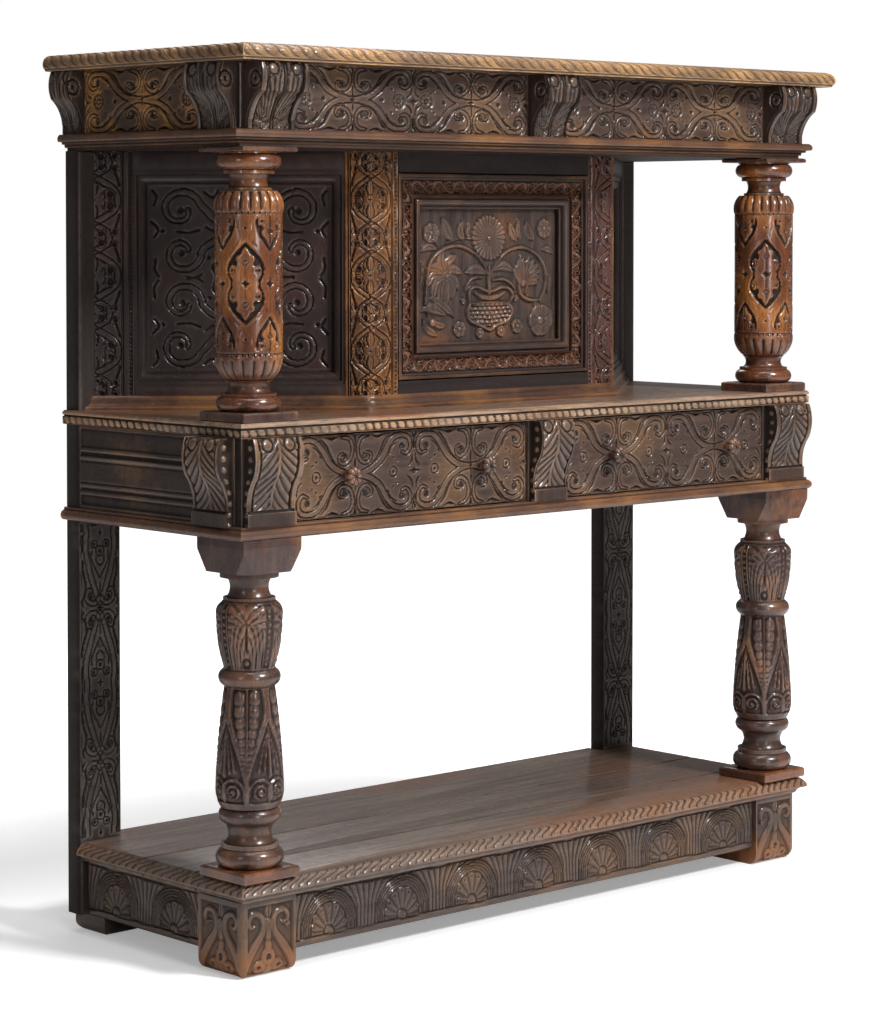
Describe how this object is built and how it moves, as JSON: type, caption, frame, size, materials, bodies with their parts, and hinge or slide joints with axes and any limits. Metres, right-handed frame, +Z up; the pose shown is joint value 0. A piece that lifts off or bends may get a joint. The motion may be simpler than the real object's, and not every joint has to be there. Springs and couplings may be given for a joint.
{
  "type": "court cupboard",
  "caption": "Carved oak court cupboard: open turned lower stage, drawer tier, canted enclosed cupboard with a hinged door, carved frieze and top.",
  "frame": {"origin": "on the floor, under the middle of the top board", "axes": "+Z up, the front faces -Y, +X to the right as seen from the front"},
  "size_m": [1.205, 0.452, 1.25],
  "materials": {
    "carved_oak": "dark waxed, carved",
    "turned_oak": "polished, turned and carved",
    "board_oak": "worn wax polish",
    "moulded_oak": "dark waxed",
    "plain_oak": "unpolished",
    "black_iron": "forged"
  },
  "bodies": {
    "carcass": {"back_base_rail": "plain_oak", "back_pot_plank": "board_oak", "bay_rails": "moulded_oak", "bay_stiles": "carved_oak", "cant_mouldings": "moulded_oak", "cornice_moulding": "moulded_oak", "cornice_soffit": "plain_oak", "cupboard_back_board": "plain_oak", "cupboard_base_moulding": "moulded_oak", "door_pins": "black_iron", "drawer_runners": "plain_oak", "frieze_back_board": "plain_oak", "frieze_end_boards": "carved_oak", "frieze_front_board": "carved_oak", "frieze_front_brackets": "carved_oak", "frieze_side_brackets": "carved_oak", "front_base_rail": "carved_oak", "front_feet": "carved_oak", "front_pot_plank": "board_oak", "joint_pegs": "moulded_oak", "left_cant_frame": "carved_oak", "left_cant_panel": "carved_oak", "left_lower_column": "turned_oak", "left_rear_post": "carved_oak", "left_upper_column": "turned_oak", "lower_capitals": "turned_oak", "lower_plinths": "turned_oak", "middle_pot_plank": "board_oak", "middle_shelf": "board_oak", "rear_feet": "plain_oak", "right_cant_frame": "carved_oak", "right_cant_panel": "carved_oak", "right_lower_column": "turned_oak", "right_rear_post": "carved_oak", "right_upper_column": "turned_oak", "side_base_rails": "carved_oak", "tier_back_board": "plain_oak", "tier_corner_blocks": "moulded_oak", "tier_divider": "plain_oak", "tier_floor_board": "board_oak", "tier_front_brackets": "carved_oak", "tier_nosing": "moulded_oak", "tier_side_brackets": "carved_oak", "tier_side_panels": "moulded_oak", "top_board": "board_oak"},
    "door": {"door_frame": "moulded_oak", "door_moulding": "carved_oak", "door_panel": "carved_oak", "lock_case": "black_iron"},
    "lock_bolt": {"lock_bolt": "black_iron"},
    "left_drawer": {"left_drawer_front": "carved_oak", "left_drawer_sides": "plain_oak", "left_drawer_back": "plain_oak", "left_drawer_bottom": "plain_oak", "left_drawer_knobs": "turned_oak"},
    "right_drawer": {"right_drawer_front": "carved_oak", "right_drawer_sides": "plain_oak", "right_drawer_back": "plain_oak", "right_drawer_bottom": "plain_oak", "right_drawer_knobs": "turned_oak"}
  },
  "joints": [
    {"name": "door_hinge", "type": "hinge", "parent": "carcass", "child": "door", "pos_m": [-0.1865, -0.069, 0.9355], "axis": [0, 0, -1], "range_deg": [0, 95]},
    {"name": "lock_bolt_slide", "type": "slide", "parent": "door", "child": "lock_bolt", "axis": [1, 0, 0], "range_m": [0, 0.009]},
    {"name": "left_drawer_slide", "type": "slide", "parent": "carcass", "child": "left_drawer", "axis": [0, -1, 0], "range_m": [0, 0.22]},
    {"name": "right_drawer_slide", "type": "slide", "parent": "carcass", "child": "right_drawer", "axis": [0, -1, 0], "range_m": [0, 0.22]}
  ]
}
